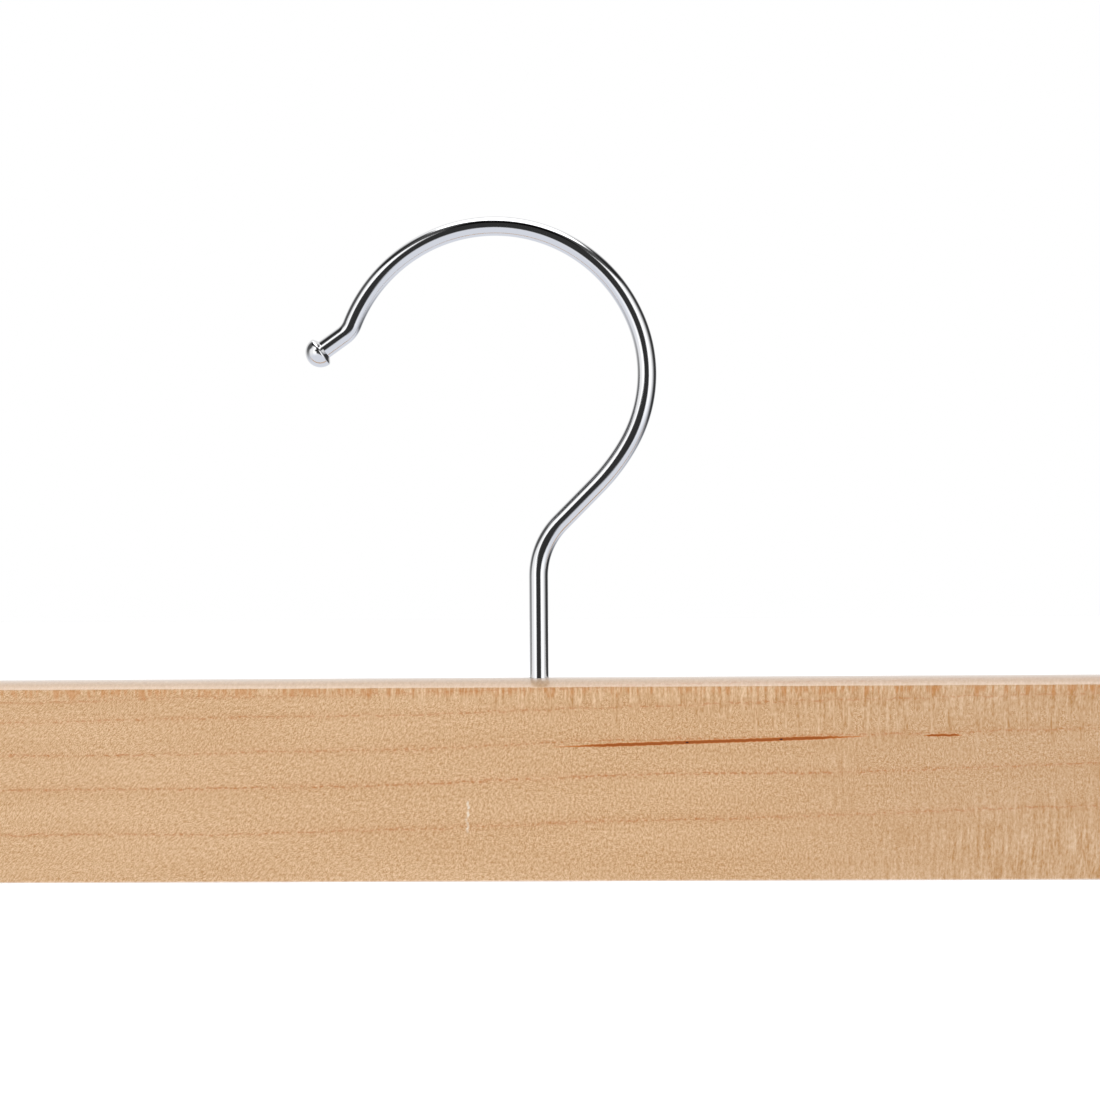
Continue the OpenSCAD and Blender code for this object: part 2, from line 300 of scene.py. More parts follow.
def lathe(name, profile, centre, axis="z", sides=96, closed=True):
    """A turned piece: profile is [distance along the axis, radius] pairs."""
    angles = np.arange(sides) * 2 * math.pi / sides
    rings = []
    for along, radius in profile:
        ring = np.zeros((sides, 3))
        if axis == "z":
            ring[:, 0] = radius * np.cos(angles)
            ring[:, 1] = radius * np.sin(angles)
            ring[:, 2] = along
        else:
            ring[:, 1] = radius * np.cos(angles)
            ring[:, 2] = radius * np.sin(angles)
            ring[:, 0] = along
        rings.append(ring + np.array(centre))
    return make_object(name, *skin(rings, closed))


def place(piece, body, slot, material, *nodes):
    """Gives a finished piece its material and body, and hides the CAD nodes it stands for."""
    piece.data.materials.clear()
    piece.data.materials.append(material)
    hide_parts(*nodes)
    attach(piece, body)


# ---------------------------------------------------------------- node helpers

class Tree:
    """Short calls that build a node tree."""

    def __init__(self, owner):
        owner.use_nodes = True
        self.nodes = owner.node_tree.nodes
        self.links = owner.node_tree.links
        self.nodes.clear()

    def add(self, kind, inputs=None, **settings):
        node = self.nodes.new(kind)
        for name, value in settings.items():
            setattr(node, name, value)
        for key, value in (inputs or {}).items():
            self.set(node.inputs[key], value)
        return node

    def set(self, socket, value):
        if isinstance(value, bpy.types.NodeSocket):
            self.links.new(value, socket)
        elif isinstance(value, (tuple, list)) and len(value) == 3 and socket.type == "RGBA":
            socket.default_value = (*value, 1.0)
        else:
            socket.default_value = value

    def maths(self, operation, a, b=0.0):
        return self.add("ShaderNodeMath", {0: a, 1: b}, operation=operation).outputs[0]

    def total(self, *values):
        result = values[0]
        for value in values[1:]:
            result = self.maths("ADD", result, value)
        return result

    def product(self, *values):
        result = values[0]
        for value in values[1:]:
            result = self.maths("MULTIPLY", result, value)
        return result

    def smooth(self, value, start, end, low=0.0, high=1.0):
        """Goes smoothly from low at start to high at end."""
        return self.add("ShaderNodeMapRange", {
            "Value": value, "From Min": start, "From Max": end, "To Min": low, "To Max": high,
        }, interpolation_type="SMOOTHSTEP").outputs[0]

    def band(self, value, low, high, soft):
        """1 between low and high, falling to 0 over soft outside them."""
        rise = self.smooth(value, low - soft, low)
        fall = self.smooth(value, high + soft, high)
        return self.product(rise, fall)

    def vector(self, x, y, z):
        return self.add("ShaderNodeCombineXYZ", {0: x, 1: y, 2: z}).outputs[0]

    def split(self, vector):
        return self.add("ShaderNodeSeparateXYZ", {0: vector}).outputs

    def noise(self, vector, scale=1.0, detail=2.0, roughness=0.5):
        return self.add("ShaderNodeTexNoise", {
            "Vector": vector, "Scale": scale, "Detail": detail, "Roughness": roughness,
        }).outputs[0]

    def centred(self, value):
        """A noise value moved down so that it lies about zero."""
        return self.maths("SUBTRACT", value, 0.5)

    def mix(self, factor, a, b):
        node = self.add("ShaderNodeMix", {0: factor, 6: a, 7: b}, data_type="RGBA")
        return node.outputs[2]

    def object_mm(self):
        """The point on the object in millimetres in the row frame."""
        point = self.add("ShaderNodeTexCoord").outputs["Object"]
        return self.add("ShaderNodeVectorMath", {0: point, "Scale": 1 / MM}, operation="SCALE").outputs[0]

    def bump(self, height, distance):
        inputs = {"Height": height, "Distance": distance, "Strength": 1.0}
        return self.add("ShaderNodeBump", inputs).outputs[0]

    def finish(self, inputs):
        surface = self.add("ShaderNodeBsdfPrincipled", inputs)
        output = self.add("ShaderNodeOutputMaterial")
        self.links.new(surface.outputs[0], output.inputs[0])


def linear(*rgb):
    """A colour given as 0 to 255 screen values, as linear light."""
    return tuple(((v / 255 + 0.055) / 1.055) ** 2.4 if v > 10 else v / 255 / 12.92 for v in rgb)


# ---------------------------------------------------------------- materials

# Marks in the wood, placed from the stem and the bar's top edge in millimetres

# [depth below the top edge at the stem, strength]
GROWTH_LINES = ((2.0, 0.55), (5.9, 0.7), (12.65, 0.8), (19.75, 0.95), (28.55, 0.85))
# [from, to, height at each end, half thickness]
MINERAL_STREAKS = (
    (2.6, 65.0, -13.6, -11.73, 0.28),
    (75.6, 83.2, -11.66, -11.6, 0.18),
)
# [across, up]
DARK_SPECKS = ((29.4, -12.8), (47.8, -12.28))


def maple():
    """Lacquered maple: growth lines, fibre stipple, ray flecks, mineral streaks and a small scratch."""
    material = bpy.data.materials.new("lacquered_maple")
    t = Tree(material)
    x, y, z = t.split(t.object_mm())
    along = t.maths("SUBTRACT", x, STEM_X)
    up = t.maths("SUBTRACT", z, BAR_TOP)
    depth = t.maths("ADD", y, BAR_T / 2)

    # Growth sheets rise gently to the right and cut through the bar at a slant
    warp = t.noise(t.vector(t.product(along, 0.012), t.product(depth, 0.05), t.product(up, 0.05)), 1, 1)
    jitter = t.noise(t.vector(t.product(along, 0.35), depth, up), 0.8, 1)
    sheet = t.total(
        up, t.product(along, -0.022), t.product(depth, 0.32),
        t.product(t.centred(warp), 3.2), t.product(t.centred(jitter), 1.1),
    )

    # Stipple: short slanting fibres on the left that stand up towards the right
    slant = t.smooth(along, -100, 40, 0.75, 0.0)
    leaned = t.maths("SUBTRACT", along, t.product(slant, up))
    stipple = t.noise(t.vector(t.product(leaned, 2.5), t.product(depth, 2.0), t.product(up, 1.7)), 1, 2, 0.6)
    grit = t.noise(t.vector(along, depth, up), 5.0, 1, 0.5)

    # Ray flecks hang from the top edge like a comb, and stand in the lower right
    comb_edge = t.noise(t.vector(t.product(along, 0.55), 3.1, 0.0), 1, 2)
    comb_l = t.product(t.smooth(along, -95, 100, 1.6, 9.5), t.smooth(comb_edge, 0.3, 0.7, 0.45, 1.5))
    comb = t.smooth(t.maths("ADD", up, comb_l), -1.2, 1.6)
    lower_right = t.product(t.smooth(along, 45, 100), t.smooth(up, -17, -31))
    patch_noise = t.noise(t.vector(t.product(along, 0.06), depth, t.product(up, 0.12)), 1, 2)
    patches = t.smooth(patch_noise, 0.48, 0.68)
    right_side = t.product(t.smooth(along, 5, 90, 0.1, 0.75), patches)
    fleck_area = t.maths("MAXIMUM", t.maths("MAXIMUM", comb, lower_right), right_side)
    curl = t.product(t.smooth(along, 40, 110), t.maths("SINE", t.product(up, 0.16)), -0.7)
    fleck_x = t.maths("ADD", along, curl)
    fleck = t.noise(t.vector(t.product(fleck_x, 1.3), t.product(depth, 0.6), t.product(up, 0.14)), 1, 2, 0.65)
    fine_fleck = t.noise(t.vector(t.product(fleck_x, 2.8), depth, t.product(up, 1.0)), 1, 2, 0.6)
    flecks = t.maths("ADD", t.product(fleck, 0.5), t.product(fine_fleck, 0.5))

    plain = t.total(t.product(stipple, 0.5), t.product(grit, 0.5))
    texture = t.add("ShaderNodeMix", {0: t.product(fleck_area, 0.85), 2: plain, 3: flecks}).outputs[0]
    tone = t.noise(t.vector(t.product(along, 0.02), depth, t.product(sheet, 0.22)), 1, 2)
    normal = t.split(t.add("ShaderNodeTexCoord").outputs["Normal"])
    calm = t.smooth(normal[2], 0.3, 0.8, 1.0, 0.35)
    light_share = t.total(
        t.product(t.centred(texture), t.smooth(fleck_area, 0, 1, 4.5, 4.2), calm),
        t.product(t.centred(tone), 0.3),
        t.smooth(along, -110, 110, 0.53, 0.44),
    )
    light_share = t.add("ShaderNodeClamp", {0: light_share}).outputs[0]
    pale = t.mix(t.smooth(along, 20, 100), linear(238, 204, 166), linear(230, 199, 166))
    colour = t.mix(light_share, linear(189, 139, 85), pale)

    # Orange teeth between the flecks, just below the top edge
    tooth_area = t.smooth(t.maths("ADD", up, t.product(comb_edge, 4.0)), -1.9, -0.5)
    teeth = t.product(t.smooth(fleck, 0.56, 0.42), tooth_area, t.smooth(normal[2], 0.5, 0.2))
    colour = t.mix(t.product(teeth, 0.5), colour, linear(206, 136, 74))

    # Growth lines, each with a soft halo and broken into dashes
    lines = 0.0
    for line_depth, strength in GROWTH_LINES:
        above = t.maths("ADD", sheet, line_depth)
        core = t.product(t.smooth(t.maths("ABSOLUTE", above), 0.34, 0.06), strength)
        halo = t.product(t.band(above, -0.1, 0.2, 1.2), strength * 0.28)
        lines = t.maths("MAXIMUM", lines, t.maths("MAXIMUM", core, halo))
    dash_noise = t.noise(t.vector(t.product(along, 1.3), depth, t.product(up, 2.0)), 1, 3)
    dashes = t.smooth(dash_noise, 0.42, 0.6, 0.08, 1.0)
    lines = t.product(lines, dashes, t.smooth(along, 30, 110, 1.0, 0.75))
    colour = t.mix(t.product(lines, 0.76), colour, linear(190, 114, 52))

    # Mineral streaks on the front face
    front = t.smooth(depth, 1.2, 0.2)
    ragged = t.product(t.centred(t.noise(t.vector(along, 0.0, 7.7), 0.9, 3)), 0.5)
    streaks = 0.0
    for start, end, z_start, z_end, half in MINERAL_STREAKS:
        share = t.maths("DIVIDE", t.maths("SUBTRACT", along, start), end - start)
        belly = t.product(t.smooth(share, -0.02, 0.22), t.smooth(share, 1.02, 0.8))
        centre = t.maths("ADD", t.product(share, z_end - z_start), z_start)
        off = t.maths("ABSOLUTE", t.total(up, t.product(centre, -1), ragged))
        reach = t.maths("ADD", t.product(belly, half), 0.02)
        inside = t.smooth(t.maths("DIVIDE", off, reach), 1.5, 0.5)
        present = t.product(t.smooth(share, -0.01, 0.02), t.smooth(share, 1.01, 0.98))
        body = t.maths("ADD", t.product(belly, 0.6), 0.4)
        streaks = t.maths("MAXIMUM", streaks, t.product(inside, present, body))
    streaks = t.product(streaks, front)
    colour = t.mix(t.smooth(streaks, 0.0, 0.5), colour, linear(212, 128, 56))
    colour = t.mix(t.smooth(streaks, 0.3, 0.95), colour, linear(163, 84, 20))
    for speck_x, speck_z in DARK_SPECKS:
        far = t.total(
            t.maths("POWER", t.maths("SUBTRACT", along, speck_x), 2.0),
            t.product(t.maths("POWER", t.maths("SUBTRACT", up, speck_z), 2.0), 4.0),
        )
        colour = t.mix(t.product(t.smooth(far, 0.16, 0.04), front), colour, linear(60, 22, 12))

    # A short pale scratch through the lacquer
    wander = t.product(t.centred(t.noise(t.vector(0.0, 4.2, t.product(up, 0.7)), 1, 2)), 1.8)
    scratch_x = t.maths("ABSOLUTE", t.total(along, 13.9, wander))
    scratch = t.product(t.smooth(scratch_x, 0.32, 0.14), t.band(up, -29.8, -24.6, 0.8), front)
    broken = t.smooth(t.noise(t.vector(0.0, 9.0, up), 1.4, 2), 0.35, 0.55, 0.25, 1.0)
    scratch = t.product(scratch, broken)
    colour = t.mix(t.product(scratch, 0.75), colour, linear(246, 233, 214))

    # End grain takes the lacquer in and turns darker, with fine pores
    end = t.smooth(t.maths("ABSOLUTE", normal[0]), 0.6, 0.92)
    pores = t.smooth(t.noise(t.vector(t.product(along, 0.2), depth, up), 4.5, 2), 0.55, 0.72)
    end_colour = t.mix(t.product(pores, 0.6), linear(190, 144, 98), linear(150, 104, 62))
    end_colour = t.mix(t.product(lines, 0.8), end_colour, linear(150, 98, 56))
    colour = t.mix(end, colour, end_colour)

    relief = t.total(
        t.product(texture, 0.6, calm), t.product(lines, -0.1),
        t.product(scratch, -1.5), t.product(streaks, -0.5),
    )
    t.finish({
        "Base Color": colour,
        "Roughness": t.smooth(texture, 0.2, 0.8, 0.36, 0.44),
        "IOR": 1.5,
        "Specular IOR Level": 0.2,
        "Coat Weight": 1.0,
        "Coat Roughness": 0.12,
        "Coat IOR": 1.65,
        "Sheen Weight": 0.9,
        "Sheen Roughness": 0.4,
        "Normal": t.bump(relief, 0.00003),
        "Coat Normal": t.bump(t.noise(t.vector(along, depth, up), 0.5, 2), 0.00004),
    })
    return material


def chrome(name, tint, roughness, grain):
    """Bright plate over drawn or rolled metal: faint grain, light haze and a few fine scratches."""
    material = bpy.data.materials.new(name)
    t = Tree(material)
    point = t.object_mm()
    haze = t.noise(point, 0.16, 3, 0.6)
    fine = t.noise(point, grain, 2, 0.7)
    wear = t.smooth(t.noise(point, 1.3, 4, 0.7), 0.62, 0.75)
    t.finish({
        "Base Color": t.mix(t.product(wear, 0.35), tint, tuple(0.8 * v for v in tint)),
        "Metallic": 1.0,
        "Roughness": t.total(roughness, t.product(t.smooth(haze, 0.4, 0.7), 0.02), t.product(wear, 0.05)),
        "Normal": t.bump(fine, 0.000004),
    })
    return material


def spring_steel():
    """Oil-dark spring wire with fine drawing marks."""
    material = bpy.data.materials.new("spring_steel")
    t = Tree(material)
    point = t.object_mm()
    marks = t.noise(point, 5.0, 3, 0.7)
    stain = t.noise(point, 0.6, 2)
    t.finish({
        "Base Color": t.mix(t.smooth(stain, 0.35, 0.65), (0.34, 0.34, 0.36), (0.46, 0.45, 0.44)),
        "Metallic": 1.0,
        "Roughness": t.smooth(marks, 0.3, 0.7, 0.22, 0.36),
        "Normal": t.bump(marks, 0.00001),
    })
    return material


def zinc():
    """Zinc plate with a slight blue tinge and a cloudy bloom."""
    material = bpy.data.materials.new("zinc_plate")
    t = Tree(material)
    point = t.object_mm()
    bloom = t.noise(point, 0.9, 4, 0.6)
    grain = t.noise(point, 8.0, 2)
    t.finish({
        "Base Color": t.mix(t.smooth(bloom, 0.35, 0.7), (0.58, 0.6, 0.64), (0.7, 0.71, 0.72)),
        "Metallic": 1.0,
        "Roughness": t.smooth(bloom, 0.3, 0.7, 0.24, 0.4),
        "Normal": t.bump(grain, 0.00001),
    })
    return material


def rubber():
    """Matt black moulded rubber with a fine skin and a faint cloudy bloom."""
    material = bpy.data.materials.new("moulded_rubber")
    t = Tree(material)
    point = t.object_mm()
    cloud = t.noise(point, 0.5, 3, 0.6)
    skin_grain = t.noise(point, 6.0, 3, 0.6)
    t.finish({
        "Base Color": t.mix(t.smooth(cloud, 0.35, 0.7), (0.016, 0.016, 0.018), (0.03, 0.03, 0.031)),
        "Roughness": t.smooth(skin_grain, 0.3, 0.7, 0.5, 0.66),
        "IOR": 1.52,
        "Normal": t.bump(skin_grain, 0.00002),
    })
    return material


MAPLE = maple()
CHROME_WIRE = chrome("chrome_wire", (0.82, 0.825, 0.84), 0.02, 9.0)
CLIP_STEEL = chrome("clip_steel", (0.76, 0.765, 0.78), 0.06, 6.0)
SPRING_STEEL = spring_steel()
ZINC = zinc()
RUBBER = rubber()


# ---------------------------------------------------------------- bar

def bar_perimeter():
    """Stations round the bar's front outline: rows of [across, up, outward across, outward up]."""
    stations = []
    for way_x, way_z, start in ((1, 1, 0), (-1, 1, 90), (-1, -1, 180), (1, -1, 270)):
        centre_x = way_x * (BAR_L / 2 - CORNER_R)
        centre_z = way_z * (BAR_H / 2 - CORNER_R)
        for out_x, out_z in arc((0, 0), 1.0, start, start + 90, 14):
            stations.append((centre_x + CORNER_R * out_x, centre_z + CORNER_R * out_z, out_x, out_z))
    return stations


def edge_profile(share):
    """Half of the bar's edge from its front face to its middle: [inset, depth from the front] pairs.

    share is 1 on the crowned top, 0 on the eased ends and -1 on the eased bottom, and blends in the corners.
    """
    half_t = BAR_T / 2
    ease = END_EASE if share >= 0 else END_EASE + (BOTTOM_EASE - END_EASE) * -share
    crown = max(share, 0.0)
    arc_r = (half_t ** 2 + CROWN_RISE ** 2) / (2 * CROWN_RISE)
    count = 18
    points = []
    for i in range(count + 1):
        part = i / count
        depth = half_t * (1 - math.cos(part * math.pi / 2))
        rise = arc_r - math.sqrt(arc_r ** 2 - (half_t - depth) ** 2)
        round_edge = ease - math.sqrt(max(ease ** 2 - (ease - min(depth, ease)) ** 2, 0.0))
        points.append((crown * rise + (1 - crown) * round_edge, depth))
    return points


def round_arris(points, radius, count):
    """Starts a profile with a small rounded arris where it meets the front face."""
    first = Vector(points[0])
    following = Vector(points[1])
    away = (following - first).normalized()
    turn = math.acos(max(-1.0, min(1.0, away.dot(Vector((-1.0, 0.0))))))
    reach = min(radius * math.tan(turn / 2), 0.25)
    on_face = first + Vector((reach, 0.0))
    on_edge = first + away * reach
    rounded = []
    for i in range(count + 1):
        s = i / count
        rounded.append(on_face * (1 - s) ** 2 + first * 2 * s * (1 - s) + on_edge * s ** 2)
    kept = [Vector(p) for p in points[1:] if (Vector(p) - first).length > reach * 1.3]
    return rounded + kept


def bar_blank():
    """The bar without its holes: a loft round the front outline."""
    arris_points = 5
    most_points = 20
    stations = []
    for across, up, out_x, out_z in bar_perimeter():
        share = math.copysign(out_z ** 2, out_z)
        half = round_arris(edge_profile(share), ARRIS_R, arris_points - 1)
        # A long profile loses points just past its arris
        while len(half) > most_points:
            half.pop(arris_points + 1)
        stations.append((across, up, out_x, out_z, half))

    # Every station gets as many points as the shortest one, and two more rows on each face beside the arris
    rest = min(len(half) for *_, half in stations) - arris_points
    loft = []
    for across, up, out_x, out_z, half in stations:
        half = half[:arris_points] + half[len(half) - rest:]
        face_edge = half[0].x
        profile = [(face_edge + 1.6, 0.0), (face_edge + 0.4, 0.0)] + [(p.x, p.y) for p in half]
        profile += [(inset, BAR_T - depth) for inset, depth in reversed(profile[:-1])]
        loft.append([
            (STEM_X + across - out_x * inset, depth - BAR_T / 2, BAR_TOP - BAR_H / 2 + up - out_z * inset)
            for inset, depth in profile
        ])
    loft = np.array(loft)
    rows, cols = loft.shape[:2]
    faces = []
    for i in range(rows):
        j = (i + 1) % rows
        for k in range(cols - 1):
            faces.append((i * cols + k, i * cols + k + 1, j * cols + k + 1, j * cols + k))
    faces.append(tuple(i * cols for i in range(rows)))
    faces.append(tuple(i * cols + cols - 1 for i in range(rows)))
    return make_object("maple_bar", loft.reshape(-1, 3), faces)


def drill(name, x, z_low, z_high, radius, flare=0.0):
    """An upright cutter; flare opens its lower end."""
    flare_end = z_low + flare + 1.0
    profile = [(z_low, 0.01), (z_low, radius + flare), (flare_end, radius), (z_high, radius), (z_high, 0.01)]
    return lathe(name, profile, (x, 0, 0), sides=64, closed=False)


def build_bar():
    """The bar with the hook's hole, the counterbore and the rails' holes drilled into it."""
    bar = bar_blank()
    bottom = BAR_TOP - BAR_H
    cutters = [
        drill("stem_hole", STEM_X, bottom - 2, BAR_TOP + 2, HOOK_R + RUN_GAP),
        drill("counterbore", STEM_X, bottom - 0.8, bottom + COUNTERBORE_DEPTH, COUNTERBORE_R, 0.3),
    ]
    for side in ("left", "right"):
        low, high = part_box(side + "_rail")
        for leg_x in (low.x / MM + RAIL_R, high.x / MM - RAIL_R):
            hole_end = bottom + LEG_DEPTH + 0.5
            cutters.append(drill("leg_hole", leg_x, bottom - 0.9, hole_end, RAIL_R + GLUE_GAP, 0.15))
    carve(bar, cutters)
    place(bar, "bar", "maple", MAPLE, "hanger_bar")


# ---------------------------------------------------------------- hook and its fixings

def build_hook():
    """One swept wire from the threaded foot to the upset head on the tip."""
    sides = 64
    path = bent_path((0.0, STEM_FOOT, 90), HOOK_STEPS)
    foot = fill_runs(np.array([path[0], path[0] + (0, THREAD_L, 0)]), THREAD_PITCH / 14)
    body = fill_runs(path[1:], 1.2)

    # The thread fades in at the foot and runs out above
    turn = np.arange(sides) / sides
    height = foot[:, 1] - STEM_FOOT
    pitch_share = (height[:, None] / THREAD_PITCH - turn[None, :]) % 1.0
    groove = 1 - np.abs(2 * pitch_share - 1)
    fade = np.clip(height / 0.4, 0, 1) * np.clip((THREAD_L - height) / 0.8, 0, 1)
    chamfer = np.clip(0.35 - height, 0, 0.35)
    foot_radii = HOOK_R - TOUCH_GAP - THREAD_DEPTH * groove * fade[:, None] - chamfer[:, None]

    # The head is a short cone, a rim and a dome: [distance past the tip, radius]
    x, z, heading = path[-1]
    step_x = math.cos(math.radians(heading))
    step_z = math.sin(math.radians(heading))
    rim = 0.9
    head = [(0.0, HOOK_R), (0.08, HOOK_R + 0.1), (0.35, 2.45), (0.62, 2.86), (0.78, 2.97), (rim, HEAD_R)]
    for i in range(1, 15):
        rise = math.pi / 2 * i / 14.6
        head.append((rim + HEAD_R * math.sin(rise), HEAD_R * math.cos(rise)))
    tip = np.array([(x + step_x * along, z + step_z * along, heading) for along, _ in head])
    tip_radii = np.array([radius for _, radius in head])

    stations = np.concatenate([foot, body, tip[1:]])
    radii = np.concatenate([
        foot_radii,
        np.full((len(body), sides), HOOK_R),
        np.broadcast_to(tip_radii[1:, None], (len(tip) - 1, sides)),
    ])
    rings = wire_rings(stations, radii, sides) + np.array([STEM_X, 0, BAR_TOP])
    hook = make_object("swivel_hook", *skin(rings), sharp_angle=50)
    place(hook, "hook", "chrome_wire", CHROME_WIRE, "hook")


def build_fixings():
    """The washer and the nut on the stem's foot."""
    low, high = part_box("hook_washer")
    profile = washer_profile(low.z / MM, high.z / MM, HOOK_R + 0.25, (high.x - low.x) / 2 / MM, 0.12)
    washer = lathe("stem_washer", profile, (STEM_X, 0, 0))
    place(washer, "hook", "zinc_hardware", ZINC, "hook_washer")
    low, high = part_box("hook_nut")
    nut = hexagon_nut("stem_nut", low.z / MM, high.z / MM)
    place(nut, "hook", "zinc_hardware", ZINC, "hook_nut")


def washer_profile(low, high, inner, outer, edge):
    """Closed profile with four rounded edges, as [along, radius] pairs."""
    corners = [
        (high - edge, outer - edge, 0), (high - edge, inner + edge, 270),
        (low + edge, inner + edge, 180), (low + edge, outer - edge, 90),
    ]
    points = []
    for along, radius, start in corners:
        points += arc((along, radius), edge, start + 90, start, 3)
    return points


def hexagon_nut(name, low, high):
    """A nut with rounded chamfers on its corners and an internal chamfer at both ends of its hole."""
    sides = 96
    flat_r = NUT_AF / 2
    hole_r = HOOK_R + TOUCH_GAP
    mouth = 0.35
    height = high - low
    turns = np.arange(sides) * 2 * math.pi / sides
    hexagon = flat_r / np.cos((turns % (math.pi / 3)) - math.pi / 6)
    drop = np.maximum(hexagon - flat_r * 1.02, 0) * 0.55
    face_r = np.minimum(hexagon, flat_r * 0.97)

    def ring(radius, heights):
        radius = np.broadcast_to(radius, sides)
        heights = np.broadcast_to(heights, sides)
        return np.stack([radius * np.cos(turns), radius * np.sin(turns), low + heights], axis=1)

    # From the hole out over the lower face; the upper half is the same the other way up
    lower = [
        (hole_r, mouth), (hole_r + mouth, 0.0), (face_r, 0.0),
        (hexagon - 0.04, drop + 0.02), (hexagon, drop + 0.1),
    ]
    rings = [ring(radius, up) for radius, up in lower]
    rings += [ring(radius, height - up) for radius, up in reversed(lower)]
    vertices, faces = skin(rings, closed=True)
    return make_object(name, vertices + np.array([STEM_X, 0, 0]), faces, sharp_angle=25)


# ---------------------------------------------------------------- rails

def build_rail(side):
    """A U-shaped wire: down, along under the bar, and up again."""
    low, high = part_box(side + "_rail")
    left = low.x / MM + RAIL_R
    span = (high.x - low.x) / MM - 2 * RAIL_R - 2 * RAIL_BEND_R
    leg = (high.z - low.z) / MM - RAIL_R - RAIL_BEND_R
    steps = [[leg, RAIL_BEND_R, 90], [span, RAIL_BEND_R, 90], [leg, 0, 0]]
    path = fill_runs(bent_path((left, high.z / MM, -90), steps, 3), 4.0)
    rail = make_object(side + "_rail_wire", *skin(wire_rings(path, RAIL_R, 48)))
    place(rail, "bar", "chrome_wire", CHROME_WIRE, side + "_rail")


# ---------------------------------------------------------------- clips

# The jaw's path comes back from the end of the finger tab, which stands on the plate's upper edge
tab_end = bent_path((PLATE_U, 0, 90), [[PLATE_UP, TAB_BEND_R, -TAB_LEAN], [TAB_L, 0, 0]])[-1]
JAW_START = (tab_end[0], tab_end[1], tab_end[2] + 180)


def sheet(name, centres, normals, width, low, high, thickness, edge):
    """A bent strip of sheet metal with rounded edges.

    centres and normals are rows along the strip, width is the direction across it,
    and low and high are how far the strip reaches that way at each row.
    """
    width = np.array(width, float)
    half = thickness / 2
    flat = np.linspace(0, 1, 9)
    rings = []
    for centre, normal, start, end in zip(centres, normals, low, high):
        r = min(edge, (end - start) / 2 * 0.98, half)
        length = end - start - 2 * r
        ring = [(start + r + length * share, half) for share in flat]
        ring += arc((end - r, half - r), r, 90, 0, 4)[1:]
        ring += arc((end - r, r - half), r, 0, -90, 4)[1:]
        ring += [(end - r - length * share, -half) for share in flat[1:]]
        ring += arc((start + r, r - half), r, -90, -180, 4)[1:]
        ring += arc((start + r, half - r), r, 180, 90, 4)[1:-1]
        rings.append([centre + width * a + np.array(normal) * b for a, b in ring])
    return make_object(name, *skin(rings))


def jaw_half_width(v, travelled, side):
    """Half the width of a jaw at height v and at a distance from the tab's end."""
    ear_out = EAR_X[side] + SHEET_T / 2
    fold = ear_out - 1.3
    past_plate = max(v - PLATE_UP, -PLATE_DOWN - v)
    half = np.interp(past_plate, [0.3, 0.9, 1.3, 1.9], [fold, ear_out, ear_out, TAB_W / 2])
    if v < FLARE_TOP:
        share = min((FLARE_TOP - v) / FLARE_L, 1.0)
        half = TAB_W / 2 + (LIP_W - TAB_W) / 2 * share * share * (3 - 2 * share)
    if travelled < TAB_CORNER_R:
        rounding = TAB_CORNER_R ** 2 - (TAB_CORNER_R - travelled) ** 2
        half = TAB_W / 2 - TAB_CORNER_R + math.sqrt(max(rounding, 0.0))
    return half


def jaw_mesh(name, side, to_world):
    """A jaw with its ears and the pivot's hole; to_world turns [along the pivot, outward, up] into places."""
    path = fill_runs(bent_path(JAW_START, JAW_STEPS, 3), 0.3)
    steps = np.hypot(np.diff(path[:, 0]), np.diff(path[:, 1]))
    travelled = np.concatenate([[0], np.cumsum(steps)])
    keep = travelled < travelled[-1] - 0.01
    path = path[keep]
    travelled = travelled[keep]
    heading = np.radians(path[:, 2])
    centres = np.stack([0 * heading, path[:, 0], path[:, 1]], axis=1)
    normals = np.stack([0 * heading, -np.sin(heading), np.cos(heading)], axis=1)
    halves = np.array([jaw_half_width(v, s, side) for v, s in zip(path[:, 1], travelled)])
    normals = to_world(normals, False)
    along_pivot = to_world(np.array([1.0, 0, 0]), False)
    strip = sheet(name, to_world(centres), normals, along_pivot, -halves, halves, SHEET_T, 0.32)
    carve(strip, [ear_mesh(name + "_ear", side, way, to_world) for way in (-1, 1)], "UNION")
    pin_profile = [(-TAB_W, 0.01), (-TAB_W, EAR_HOLE_R), (TAB_W, EAR_HOLE_R), (TAB_W, 0.01)]
    pin = lathe(name + "_pin", pin_profile, to_world(np.zeros(3)), "x", 64, closed=False)
    carve(strip, [pin])
    return strip


def ear_mesh(name, side, way, to_world):
    """One folded ear: from inside the plate round the fold, back to the pivot, and round it."""
    ear_x = EAR_X[side]
    fold_r = 0.8
    overlap = 1.6
    start = (ear_x - fold_r - overlap, PLATE_U, 0)
    path = fill_runs(bent_path(start, [[overlap, fold_r, -90], [PLATE_U - fold_r, 0, 0]], 9), 0.6)
    round_part = [(ear_x, -EAR_R * math.sin(math.radians(a)), -90) for a in range(6, 90, 6)]
    path = np.concatenate([path, np.array(round_part)])
    turned = np.radians(path[:, 2])
    centres = np.stack([way * path[:, 0], path[:, 1], 0 * turned], axis=1)
    normals = np.stack([-way * np.sin(turned), np.cos(turned), 0 * turned], axis=1)
    lows = []
    highs = []
    for u in path[:, 1]:
        if u >= 0:
            share = u / PLATE_U
            highs.append(EAR_R + (PLATE_UP - 0.1 - EAR_R) * share)
            lows.append(-EAR_R - (PLATE_DOWN - 0.1 - EAR_R) * share)
        else:
            reach = math.sqrt(EAR_R ** 2 - u ** 2)
            highs.append(reach)
            lows.append(-reach)
    upward = to_world(np.array([0, 0, 1.0]), False)
    return sheet(name, to_world(centres), to_world(normals, False), upward, lows, highs, SHEET_T - 0.02, 0.25)


